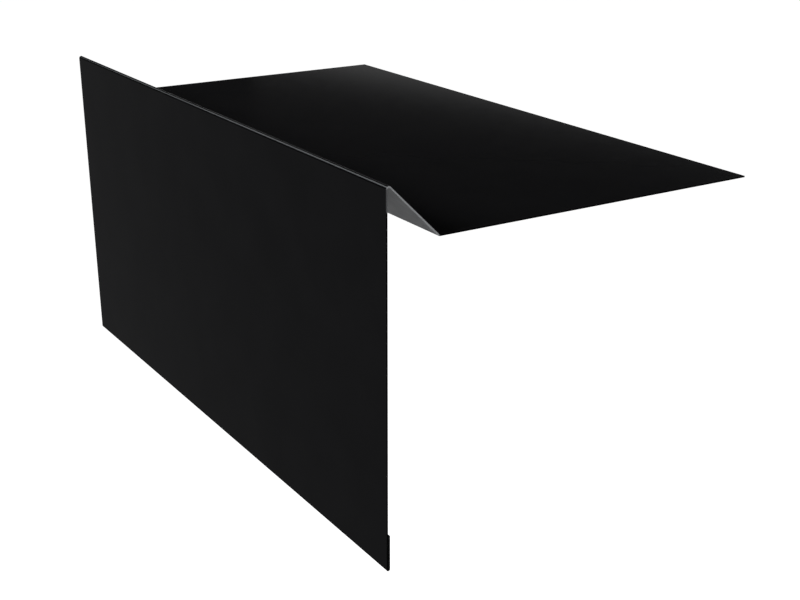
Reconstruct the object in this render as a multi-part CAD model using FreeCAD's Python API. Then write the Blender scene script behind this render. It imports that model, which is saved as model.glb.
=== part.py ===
import FreeCAD, Part
import math
import os

# Verge flashing: one strip of coil-coated steel, press-braked along its length.
# Seen in cross-section from its outer edge the strip is a flat flange that lies on the roof deck,
# a valley bend, a web that climbs outwards to a raised peak, a drop face that hangs over the
# barge board, and a closed hem that folds the face's lower edge back behind itself.
# X runs across the roof edge with the drop face on the -X side, Y runs along the edge, Z is up.
# The origin is the middle of the flange's underside, on the plane of the deck.

# Sheet and length, in mm
SHEET_THICKNESS = 0.6
PIECE_LENGTH = 300.0

# Flange and web, in mm, measured on the back of the sheet to the corners where its flats would meet
FLANGE_WIDTH = 150.0
WEB_WIDTH = 30.0

# Drop face from the top of the peak to the bottom of the hem, and the hem's own height, in mm
FACE_DROP = 150.0
HEM_DEPTH = 15.0

# Slope of the web above the flange, in degrees
WEB_SLOPE = 45.0

# Inside radius of each fold, and the slit left inside the hem, in mm
VALLEY_RADIUS = 0.5
PEAK_RADIUS = 0.5
HEM_SLIT = 0.3

# Turns of the folds, in degrees
PEAK_TURN = 90.0 + WEB_SLOPE
HEM_TURN = 180.0

# Radii on the outside of each fold
VALLEY_OUTSIDE = VALLEY_RADIUS + SHEET_THICKNESS
PEAK_OUTSIDE = PEAK_RADIUS + SHEET_THICKNESS
HEM_RADIUS = HEM_SLIT / 2.0
HEM_OUTSIDE = HEM_RADIUS + SHEET_THICKNESS


class SheetSection:
    """Outline of a folded sheet, drawn by walking along its painted side.

    The sheet lies on the left of the walk, so each flat or fold adds one edge to the
    painted side and its partner, one thickness away, to the back side.
    """

    def __init__(self, start_x, start_z, heading):
        self.point = FreeCAD.Vector(start_x, 0.0, start_z)
        self.heading = heading
        self.painted_edges = []
        self.back_edges = []

    def along(self):
        angle = math.radians(self.heading)
        return FreeCAD.Vector(math.cos(angle), 0.0, math.sin(angle))

    def leftward(self):
        angle = math.radians(self.heading + 90.0)
        return FreeCAD.Vector(math.cos(angle), 0.0, math.sin(angle))

    def flat(self, length):
        """Adds a straight stretch of sheet."""
        through = self.leftward() * SHEET_THICKNESS
        end = self.point + self.along() * length
        self.painted_edges.append(Part.LineSegment(self.point, end).toShape())
        self.back_edges.append(Part.LineSegment(end + through, self.point + through).toShape())
        self.point = end

    def fold(self, turn, inside_radius):
        """Adds a fold: a positive turn folds towards the back, a negative one towards the paint."""
        outside_radius = inside_radius + SHEET_THICKNESS
        if turn > 0.0:
            painted_reach = outside_radius
            back_reach = inside_radius
        else:
            painted_reach = -inside_radius
            back_reach = -outside_radius
        centre = self.point + self.leftward() * painted_reach
        painted = []
        back = []
        for share in (0.0, 0.5, 1.0):
            angle = math.radians(self.heading + share * turn - 90.0)
            spoke = FreeCAD.Vector(math.cos(angle), 0.0, math.sin(angle))
            painted.append(centre + spoke * painted_reach)
            back.append(centre + spoke * back_reach)
        self.painted_edges.append(Part.Arc(*painted).toShape())
        self.back_edges.append(Part.Arc(back[2], back[1], back[0]).toShape())
        self.point = painted[2]
        self.heading += turn

    def face(self):
        """Closes the outline with the two cut edges of the sheet."""
        painted_start = self.painted_edges[0].firstVertex().Point
        back_start = self.back_edges[0].lastVertex().Point
        painted_end = self.painted_edges[-1].lastVertex().Point
        back_end = self.back_edges[-1].firstVertex().Point
        outline = list(self.painted_edges)
        outline.append(Part.LineSegment(painted_end, back_end).toShape())
        outline.extend(reversed(self.back_edges))
        outline.append(Part.LineSegment(back_start, painted_start).toShape())
        return Part.Face(Part.Wire(outline))


def setback(turn, radius):
    """How far before the corner of two flats a fold of this radius starts."""
    return radius * math.tan(math.radians(turn / 2.0))


def flashing_section():
    """The whole strip in cross-section, from the flange's outer edge to the hem's raw edge."""
    valley_setback = setback(WEB_SLOPE, VALLEY_OUTSIDE)
    section = SheetSection(FLANGE_WIDTH / 2.0, SHEET_THICKNESS, 180.0)
    section.flat(FLANGE_WIDTH - valley_setback)
    section.fold(-WEB_SLOPE, VALLEY_RADIUS)
    section.flat(WEB_WIDTH - valley_setback - setback(PEAK_TURN, PEAK_RADIUS))
    section.fold(PEAK_TURN, PEAK_RADIUS)
    section.flat(FACE_DROP - PEAK_OUTSIDE - HEM_OUTSIDE)
    section.fold(HEM_TURN, HEM_RADIUS)
    section.flat(HEM_DEPTH - HEM_OUTSIDE)
    return section.face()


def verge_flashing():
    """The section drawn out along the roof edge, half its length each side of the origin."""
    section = flashing_section()
    section.translate(FreeCAD.Vector(0.0, -PIECE_LENGTH / 2.0, 0.0))
    return section.extrude(FreeCAD.Vector(0.0, PIECE_LENGTH, 0.0))


os.makedirs("parts", exist_ok=True)
flashing = verge_flashing()
flashing.exportStep("parts/verge_flashing.step")
print("verge_flashing", flashing.isValid(), round(flashing.Volume, 2), "mm3", flashing.BoundBox)
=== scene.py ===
import bmesh
import bpy
import math
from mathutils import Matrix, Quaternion, Vector


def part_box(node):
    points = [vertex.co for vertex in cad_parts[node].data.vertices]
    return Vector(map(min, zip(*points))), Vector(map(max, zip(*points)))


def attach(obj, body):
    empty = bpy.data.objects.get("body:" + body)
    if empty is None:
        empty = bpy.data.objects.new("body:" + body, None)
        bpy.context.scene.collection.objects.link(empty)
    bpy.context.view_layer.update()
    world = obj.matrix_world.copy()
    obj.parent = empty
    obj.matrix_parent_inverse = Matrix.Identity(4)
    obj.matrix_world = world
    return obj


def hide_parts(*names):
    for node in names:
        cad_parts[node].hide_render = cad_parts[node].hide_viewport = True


# Verge flashing: one folded strip of coil-coated steel, black on the weather side and grey on the back.
# Everything is in metres in the part's own frame: X across the roof edge with the drop face at -X,
# Y along the edge, Z up, origin in the middle of the flange's underside.

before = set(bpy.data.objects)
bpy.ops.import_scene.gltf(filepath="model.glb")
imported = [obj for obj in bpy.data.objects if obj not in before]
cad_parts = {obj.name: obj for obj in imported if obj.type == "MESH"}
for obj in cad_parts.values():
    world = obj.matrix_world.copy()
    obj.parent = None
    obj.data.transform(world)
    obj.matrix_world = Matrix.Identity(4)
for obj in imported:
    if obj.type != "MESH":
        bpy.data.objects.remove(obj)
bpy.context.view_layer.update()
MM = 0.001

# The strip's outer limits, read from the frame
LOW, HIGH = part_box("verge_flashing")
FACE_X = LOW[0]
FLANGE_EDGE_X = HIGH[0]
NEAR_END_Y = LOW[1]
FAR_END_Y = HIGH[1]
HEM_FOLD_Z = LOW[2]
PEAK_Z = HIGH[2]

# Sheet, folds and hem, as folded
SHEET = 0.6 * MM
FOLD_RADIUS = 0.5 * MM
HEM_SLIT = 0.3 * MM
HEM_DEPTH = 15.0 * MM
WEB_SLOPE = math.radians(45.0)
FOLD_STEP = math.radians(7.5)
SHARP_EDGE = math.radians(30.0)
VALLEY_X = -FLANGE_EDGE_X
HEM_EDGE_Z = HEM_FOLD_Z + HEM_DEPTH

# Bands along the peak, as depths behind the drop face, for the crest's painted highlight and painted shade and
# the cut edge's bare steel: each begins or ends over a short step
PAINTED_HIGHLIGHT_BEGINS = (0.18 * MM, 0.28 * MM)
PAINTED_HIGHLIGHT_ENDS = (0.62 * MM, 0.50 * MM)
PAINTED_SHADE_ENDS = (2.0 * MM, 1.5 * MM)
BARE_EDGE_BEGINS = (1.7 * MM, 2.2 * MM)

# The crest's painted highlight is faintest at the far end, and full from a little past half way to the near end
HIGHLIGHT_AT_FAR_END = 0.35
HIGHLIGHT_FULL_FROM_Y = NEAR_END_Y / 4.0

# Bands by depth below the peak, for the crest's painted highlight and painted shade and for the cut edge's
# steel
CREST_HEIGHT = (1.1 * MM, 0.8 * MM)
BARE_CREST_HEIGHT = (1.6 * MM, 0.7 * MM)
HALF_STEEL_EDGE_HEIGHT = (9.7 * MM, 9.0 * MM)

# How much of the steel shows on the cut edge where the rib meets the drop face; the rest there is black
HALF_STEEL_SHARE = 0.5

# Grain of the finishes, in millimetres; the coats' own peel and wear are finer, but wouldn't show in the render
PEEL_GRAIN = 1.2
WEAR_GRAIN = 1.5
GLOSS_DRIFT = 8.0
BLACK_DRIFT = 25.0
ROLLING_GRAIN = 1.6
BACK_GLOSS_DRIFT = 6.0
SHEAR_GRAIN = 0.4

# Rolling draws the back's grain out along the strip, and noise keeps mostly between these two values
ROLLING_STRETCH = (1.0, 0.06, 1.0)
NOISE_RANGE = (0.3, 0.7)

# The photograph's camera, in metres, degrees, and pixels of the 800 by 600 image
CAMERA_PLACE = (-0.32222, -0.51270, 0.13805)
CAMERA_YAW = 32.185
CAMERA_PITCH = 21.431
IMAGE_WIDTH = 800
IMAGE_HEIGHT = 600
FOCAL_PIXELS = 1310.35
CENTRE_PIXEL_X = 393.17
CENTRE_PIXEL_Y = 327.08
SENSOR_WIDTH = 36.0

# Studio, in metres: the floor is well below the part, which its deck seat holds up
FLOOR_Z = -1.2
FLOOR_REACH = 40.0

# Light from the dim walls, and how high the white backdrop stands and fades, as sines above the horizon
WALL_LIGHT = 0.025
BACKDROP_TOP = 0.08
BACKDROP_FADE = 0.04


def linear(hex_colour):
    """An sRGB hex colour as the linear RGBA that the shaders take."""
    channels = []
    for start in (1, 3, 5):
        value = int(hex_colour[start:start + 2], 16) / 255.0
        if value <= 0.04045:
            channels.append(value / 12.92)
        else:
            channels.append(((value + 0.055) / 1.055) ** 2.4)
    return (*channels, 1.0)


def add_node(tree, kind, inputs=None, **settings):
    """Adds a node; inputs maps a socket's name or number to a value or to the output that feeds it."""
    made = tree.nodes.new(kind)
    for name, value in settings.items():
        setattr(made, name, value)
    for name, value in (inputs or {}).items():
        if isinstance(value, bpy.types.NodeSocket):
            tree.links.new(value, made.inputs[name])
        else:
            made.inputs[name].default_value = value
    return made


def new_material(name):
    """A node material and its emptied tree."""
    material = bpy.data.materials.new(name)
    material.use_nodes = True
    tree = material.node_tree
    tree.nodes.clear()
    return material, tree


def grit(tree, place, size_mm, detail=2.0):
    """Noise whose grains are about size_mm across."""
    return add_node(
        tree, "ShaderNodeTexNoise",
        {"Vector": place, "Scale": 1.0 / (size_mm * MM), "Detail": detail},
    ).outputs["Fac"]


def spread(tree, value, low, high):
    """Stretches a noise value over low to high."""
    return add_node(
        tree, "ShaderNodeMapRange",
        {
            "Value": value, "From Min": NOISE_RANGE[0], "From Max": NOISE_RANGE[1],
            "To Min": low, "To Max": high,
        },
    ).outputs["Result"]


def ramp(tree, value, start, end):
    """0 where value is at start, 1 where it is at end, held beyond both."""
    return add_node(
        tree, "ShaderNodeMapRange", {"Value": value, "From Min": start, "From Max": end},
    ).outputs["Result"]


def behind_face(tree, across, step):
    """A soft step at two depths behind the drop face, from 0 at the first to 1 at the second."""
    return ramp(tree, across, FACE_X + step[0], FACE_X + step[1])


def below_peak(tree, height, step):
    """A soft step at two depths below the peak, from 0 at the first to 1 at the second."""
    return ramp(tree, height, PEAK_Z - step[0], PEAK_Z - step[1])


def combine(tree, operation, first, second):
    """Two masks put together by a Math operation."""
    return add_node(tree, "ShaderNodeMath", {0: first, 1: second}, operation=operation).outputs["Value"]


def blend(tree, factor, first, second):
    """First where factor is 0, second where it is 1; each is a hex colour or another blend."""
    tones = {"Factor": factor}
    for name, tone in (("A", first), ("B", second)):
        tones[name] = linear(tone) if isinstance(tone, str) else tone
    return add_node(tree, "ShaderNodeMix", tones, data_type="RGBA").outputs["Result"]


def black_polyester_top_coat():
    """Roller-coated black polyester: deep black, low gloss, with the fine orange peel of a baked coat.

    Over the peak's tight fold a fine pale line along the crest is a painted highlight, faintest at the far end
    and broken by a grain of wear, and the fold's top is painted the deepest black as shade.
    """
    material, tree = new_material("black_polyester_top_coat")
    place = add_node(tree, "ShaderNodeTexCoord").outputs["Object"]
    axes = add_node(tree, "ShaderNodeSeparateXYZ", {"Vector": place})
    across, height = axes.outputs["X"], axes.outputs["Z"]
    crest = below_peak(tree, height, CREST_HEIGHT)
    outer_flank = combine(
        tree, "MULTIPLY",
        behind_face(tree, across, PAINTED_HIGHLIGHT_BEGINS), behind_face(tree, across, PAINTED_HIGHLIGHT_ENDS),
    )
    # Painted highlight: a pale line on the crest's outer flank stands in for the fold's sheen
    painted_highlight = combine(tree, "MULTIPLY", crest, outer_flank)
    # The painted highlight is brighter towards the near end
    highlight_brighter_near = add_node(
        tree, "ShaderNodeMapRange",
        {
            "Value": axes.outputs["Y"], "From Min": FAR_END_Y, "From Max": HIGHLIGHT_FULL_FROM_Y,
            "To Min": HIGHLIGHT_AT_FAR_END, "To Max": 1.0,
        },
    ).outputs["Result"]
    wear = spread(tree, grit(tree, place, WEAR_GRAIN, 3.0), 0.8, 1.0)
    worn_highlight = combine(tree, "MULTIPLY", painted_highlight, combine(tree, "MULTIPLY", highlight_brighter_near, wear))
    # Painted shade: the fold's top, past the crest, is made near black
    painted_shade_on_fold = combine(tree, "MULTIPLY", crest, behind_face(tree, across, PAINTED_SHADE_ENDS))
    drift = spread(tree, grit(tree, place, BLACK_DRIFT), 0.0, 1.0)
    black = blend(tree, drift, "#151516", "#171718")
    with_painted_shade = blend(tree, painted_shade_on_fold, black, "#060607")
    # The painted highlight's pale grey laid over the black
    with_painted_highlight = blend(tree, worn_highlight, with_painted_shade, "#686A6C")
    peel = add_node(
        tree, "ShaderNodeBump",
        {"Height": grit(tree, place, PEEL_GRAIN), "Strength": 0.05, "Distance": 0.01 * MM},
    )
    # The specular level is far under a bare polyester's, so the drop face doesn't mirror the white floor
    coat = add_node(
        tree, "ShaderNodeBsdfPrincipled",
        {
            "Base Color": with_painted_highlight,
            "Roughness": spread(tree, grit(tree, place, GLOSS_DRIFT), 0.098, 0.114),
            "Specular IOR Level": 0.0016,
            "Normal": peel.outputs["Normal"],
        },
    )
    add_node(tree, "ShaderNodeOutputMaterial", {"Surface": coat.outputs["BSDF"]})
    return material


def grey_epoxy_back_coat():
    """Thin grey epoxy rolled on the back: mid grey and matt, with the steel's rolling grain showing through."""
    material, tree = new_material("grey_epoxy_back_coat")
    place = add_node(tree, "ShaderNodeTexCoord").outputs["Object"]
    along_strip = add_node(
        tree, "ShaderNodeMapping", {"Vector": place, "Scale": ROLLING_STRETCH},
    ).outputs["Vector"]
    rolling = spread(tree, grit(tree, along_strip, ROLLING_GRAIN), 0.0, 1.0)
    coat = add_node(
        tree, "ShaderNodeBsdfPrincipled",
        {
            "Base Color": blend(tree, rolling, "#626467", "#696B6E"),
            "Roughness": spread(tree, grit(tree, place, BACK_GLOSS_DRIFT), 0.52, 0.60),
            "Specular IOR Level": 0.1,
        },
    )
    add_node(tree, "ShaderNodeOutputMaterial", {"Surface": coat.outputs["BSDF"]})
    return material


def sheared_steel_edge():
    """Sheared edge of the strip, which draws a thin dull line of steel round the rib.

    The steel is bare along the web and over the crest, and half steel, half black where the rib meets
    the drop face. Elsewhere the edge is black, and inside the doubled hem it is painted darkest as shade.
    """
    material, tree = new_material("sheared_steel_edge")
    place = add_node(tree, "ShaderNodeTexCoord").outputs["Object"]
    axes = add_node(tree, "ShaderNodeSeparateXYZ", {"Vector": place})
    across, height = axes.outputs["X"], axes.outputs["Z"]
    # Half steel on the drop face's cut edge from the crest down to about 9 mm below the peak
    half_steel = combine(tree, "MULTIPLY", below_peak(tree, height, HALF_STEEL_EDGE_HEIGHT), HALF_STEEL_SHARE)
    round_crest = combine(tree, "MAXIMUM", half_steel, below_peak(tree, height, BARE_CREST_HEIGHT))
    along_web = combine(tree, "MAXIMUM", round_crest, behind_face(tree, across, BARE_EDGE_BEGINS))
    bare = combine(tree, "MULTIPLY", along_web, ramp(tree, across, VALLEY_X + SHEET, VALLEY_X))
    # Painted shade: the cut end inside the doubled hem is made darkest
    hem_shade = combine(
        tree, "MULTIPLY",
        ramp(tree, across, FACE_X + SHEET, FACE_X + 1.25 * SHEET),
        ramp(tree, height, HEM_EDGE_Z + HEM_DEPTH / 4.0, HEM_EDGE_Z + HEM_DEPTH / 8.0),
    )
    # Black on the cut edge, darkest inside the hem as painted shade
    dark_edge = blend(tree, hem_shade, "#161617", "#050506")
    shear_marks = spread(tree, grit(tree, place, SHEAR_GRAIN), 0.0, 1.0)
    steel = blend(tree, shear_marks, "#707274", "#8C8D8F")
    edge = add_node(
        tree, "ShaderNodeBsdfPrincipled",
        {
            "Base Color": blend(tree, bare, dark_edge, steel),
            "Metallic": bare,
            "Roughness": 0.45,
            "Specular IOR Level": 0.004,
        },
    )
    add_node(tree, "ShaderNodeOutputMaterial", {"Surface": edge.outputs["BSDF"]})
    return material


# Which finish a face of the strip has
TOP_COAT, BACK_COAT, CUT_EDGE = range(3)


class StripWalk:
    """Folds the strip by moving one long edge along the section, as a press brake would form it."""

    def __init__(self, mesh, start_x, start_z, heading):
        self.mesh = mesh
        self.heading = heading
        ends = [mesh.verts.new((start_x, y, start_z)) for y in (NEAR_END_Y, FAR_END_Y)]
        self.edge = mesh.edges.new(ends)

    def along(self, turned=0.0):
        angle = self.heading + turned
        return Vector((math.cos(angle), 0.0, math.sin(angle)))

    def flat(self, length):
        """Draws out a flat stretch of sheet."""
        made = bmesh.ops.extrude_edge_only(self.mesh, edges=[self.edge])["geom"]
        self.edge = next(item for item in made if isinstance(item, bmesh.types.BMEdge))
        bmesh.ops.translate(self.mesh, vec=self.along() * length, verts=list(self.edge.verts))

    def fold(self, turn, reach):
        """Rolls the edge round a fold whose centre lies reach to the left of the walk."""
        centre = self.edge.verts[0].co + self.along(math.radians(90.0)) * reach
        made = bmesh.ops.spin(
            self.mesh, geom=[*self.edge.verts, self.edge], cent=centre, axis=(0.0, -1.0, 0.0),
            angle=turn, steps=round(abs(turn) / FOLD_STEP),
        )["geom_last"]
        self.edge = next(item for item in made if isinstance(item, bmesh.types.BMEdge))
        self.heading += turn


def fold_section(mesh):
    """Walks the weather side from the flange's free edge to the hem's raw edge."""
    peak_outside = FOLD_RADIUS + SHEET
    hem_outside = HEM_SLIT / 2.0 + SHEET
    peak_turn = math.radians(90.0) + WEB_SLOPE
    valley_setback = peak_outside * math.tan(WEB_SLOPE / 2.0)
    rise_in_folds = (peak_outside + FOLD_RADIUS) * (1.0 - math.cos(WEB_SLOPE))
    web_flat = (PEAK_Z - SHEET - rise_in_folds) / math.sin(WEB_SLOPE)

    walk = StripWalk(mesh, FLANGE_EDGE_X, SHEET, math.radians(180.0))
    walk.flat(FLANGE_EDGE_X - VALLEY_X - valley_setback)
    walk.fold(-WEB_SLOPE, -FOLD_RADIUS)
    walk.flat(web_flat)
    walk.fold(peak_turn, peak_outside)
    walk.flat(PEAK_Z - HEM_FOLD_Z - peak_outside - hem_outside)
    walk.fold(math.radians(180.0), hem_outside)
    walk.flat(HEM_DEPTH - hem_outside)


def thicken_and_sort(mesh):
    """Gives the weather side its sheet behind it, and each face its finish.

    A face with all its corners on the weather side is top coat, one with none is back coat,
    and the rest are the cut edge between them.
    """
    mesh.normal_update()
    weather_side = list(mesh.faces)
    if weather_side[0].normal.z < 0.0:
        bmesh.ops.reverse_faces(mesh, faces=weather_side)
    weather_verts = set(mesh.verts)
    bmesh.ops.solidify(mesh, geom=weather_side, thickness=SHEET)
    mesh.normal_update()
    for face in mesh.faces:
        on_weather_side = sum(vert in weather_verts for vert in face.verts)
        face.material_index = {4: TOP_COAT, 0: BACK_COAT}.get(on_weather_side, CUT_EDGE)
        face.smooth = True
    for edge in mesh.edges:
        edge.smooth = edge.calc_face_angle(0.0) < SHARP_EDGE


def folded_strip():
    """The whole flashing as one closed sheet in its three finishes."""
    mesh = bmesh.new()
    fold_section(mesh)
    thicken_and_sort(mesh)
    data = bpy.data.meshes.new("folded_strip")
    mesh.to_mesh(data)
    mesh.free()
    strip = bpy.data.objects.new("folded_strip", data)
    bpy.context.scene.collection.objects.link(strip)
    for finish in (black_polyester_top_coat(), grey_epoxy_back_coat(), sheared_steel_edge()):
        data.materials.append(finish)
    # Wide flats outweigh the folds beside them, so they shade flat and only the folds shade round
    normals = strip.modifiers.new("flats_shade_flat", "WEIGHTED_NORMAL")
    normals.weight = 100
    normals.keep_sharp = True
    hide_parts("verge_flashing")
    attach(strip, "root")


def plainly_white(tree, rays, mirrored):
    """1 for rays from the lens, direct or through glass, and for the mirrored ones given; 0 for the rest."""
    direct = combine(tree, "MAXIMUM", rays.outputs["Is Camera Ray"], rays.outputs["Is Transmission Ray"])
    return combine(tree, "MAXIMUM", direct, mirrored)


def studio_floor():
    """A plain pale floor, which the lens and the gloss see as white."""
    material, tree = new_material("white_studio_floor")
    rays = add_node(tree, "ShaderNodeLightPath")
    seen = plainly_white(tree, rays, rays.outputs["Is Glossy Ray"])
    paper = add_node(tree, "ShaderNodeBsdfDiffuse", {"Color": linear("#D6D6D6")})
    glow = add_node(tree, "ShaderNodeEmission", {"Color": linear("#FFFFFF"), "Strength": seen})
    both = add_node(tree, "ShaderNodeAddShader", {0: paper.outputs["BSDF"], 1: glow.outputs["Emission"]})
    add_node(tree, "ShaderNodeOutputMaterial", {"Surface": both.outputs["Shader"]})

    mesh = bmesh.new()
    bmesh.ops.create_grid(mesh, x_segments=1, y_segments=1, size=FLOOR_REACH)
    bmesh.ops.translate(mesh, vec=(0.0, 0.0, FLOOR_Z), verts=mesh.verts)
    data = bpy.data.meshes.new("studio_floor")
    mesh.to_mesh(data)
    mesh.free()
    data.materials.append(material)
    floor = bpy.data.objects.new("studio_floor", data)
    bpy.context.scene.collection.objects.link(floor)


def soft_lamp(name, bearing, height, distance, size, power, roll=0.0):
    """A soft box facing the part: bearing clockwise from +Y and height in degrees, then metres and watts.

    Roll, in degrees, raises its clockwise end.
    """
    lamp = bpy.data.lights.new(name, "AREA")
    lamp.shape = "RECTANGLE"
    lamp.size, lamp.size_y = size
    lamp.energy = power
    turn, tilt = math.radians(bearing), math.radians(height)
    way = Vector((math.sin(turn) * math.cos(tilt), math.cos(turn) * math.cos(tilt), math.sin(tilt)))
    holder = bpy.data.objects.new(name, lamp)
    holder.location = way * distance
    facing = way.to_track_quat("Z", "Y") @ Quaternion((0.0, 0.0, -1.0), math.radians(roll))
    holder.rotation_euler = facing.to_euler()
    bpy.context.scene.collection.objects.link(holder)


def studio_world():
    """Dim studio walls, white to the lens, and white to the gloss as high as the low backdrop stands."""
    world = bpy.data.worlds.new("studio_walls")
    world.use_nodes = True
    tree = world.node_tree
    rays = add_node(tree, "ShaderNodeLightPath")
    way = add_node(tree, "ShaderNodeTexCoord").outputs["Generated"]
    axes = add_node(tree, "ShaderNodeSeparateXYZ", {"Vector": way})
    backdrop = ramp(tree, axes.outputs["Z"], BACKDROP_TOP, BACKDROP_TOP - BACKDROP_FADE)
    mirrored = combine(tree, "MULTIPLY", rays.outputs["Is Glossy Ray"], backdrop)
    strength = add_node(
        tree, "ShaderNodeMapRange",
        {"Value": plainly_white(tree, rays, mirrored), "To Min": WALL_LIGHT, "To Max": 1.0},
    ).outputs["Result"]
    walls = tree.nodes["Background"]
    walls.inputs["Color"].default_value = linear("#FFFFFF")
    tree.links.new(strength, walls.inputs["Strength"])
    bpy.context.scene.world = world


def photo_camera():
    """The camera at the photograph's place and angle."""
    lens = bpy.data.cameras.new("photo_camera")
    lens.sensor_width = SENSOR_WIDTH
    lens.lens = FOCAL_PIXELS * SENSOR_WIDTH / IMAGE_WIDTH
    lens.shift_x = (IMAGE_WIDTH / 2.0 - CENTRE_PIXEL_X) / IMAGE_WIDTH
    lens.shift_y = (CENTRE_PIXEL_Y - IMAGE_HEIGHT / 2.0) / IMAGE_WIDTH
    lens.clip_start = 0.01
    camera = bpy.data.objects.new("photo_camera", lens)
    camera.location = CAMERA_PLACE
    camera.rotation_euler = (math.radians(90.0 - CAMERA_PITCH), 0.0, math.radians(-CAMERA_YAW))
    bpy.context.scene.collection.objects.link(camera)
    bpy.context.scene.camera = camera


folded_strip()
studio_floor()
studio_world()
soft_lamp("key_lamp", bearing=-92.0, height=28.0, distance=2.0, size=(0.6, 0.6), power=33.0)
soft_lamp("rim_lamp", bearing=-4.0, height=35.0, distance=1.5, size=(0.3, 0.3), power=1.2)
soft_lamp("fill_lamp", bearing=95.0, height=40.0, distance=2.0, size=(0.8, 0.8), power=4.0)
soft_lamp("back_lamp", bearing=95.0, height=6.0, distance=2.0, size=(0.8, 0.8), power=20.0)
soft_lamp("sheen_card", bearing=48.5, height=8.85, distance=1.5, size=(1.36, 0.2), power=1.0, roll=8.0)
photo_camera()
bpy.context.scene.view_settings.view_transform = "Standard"
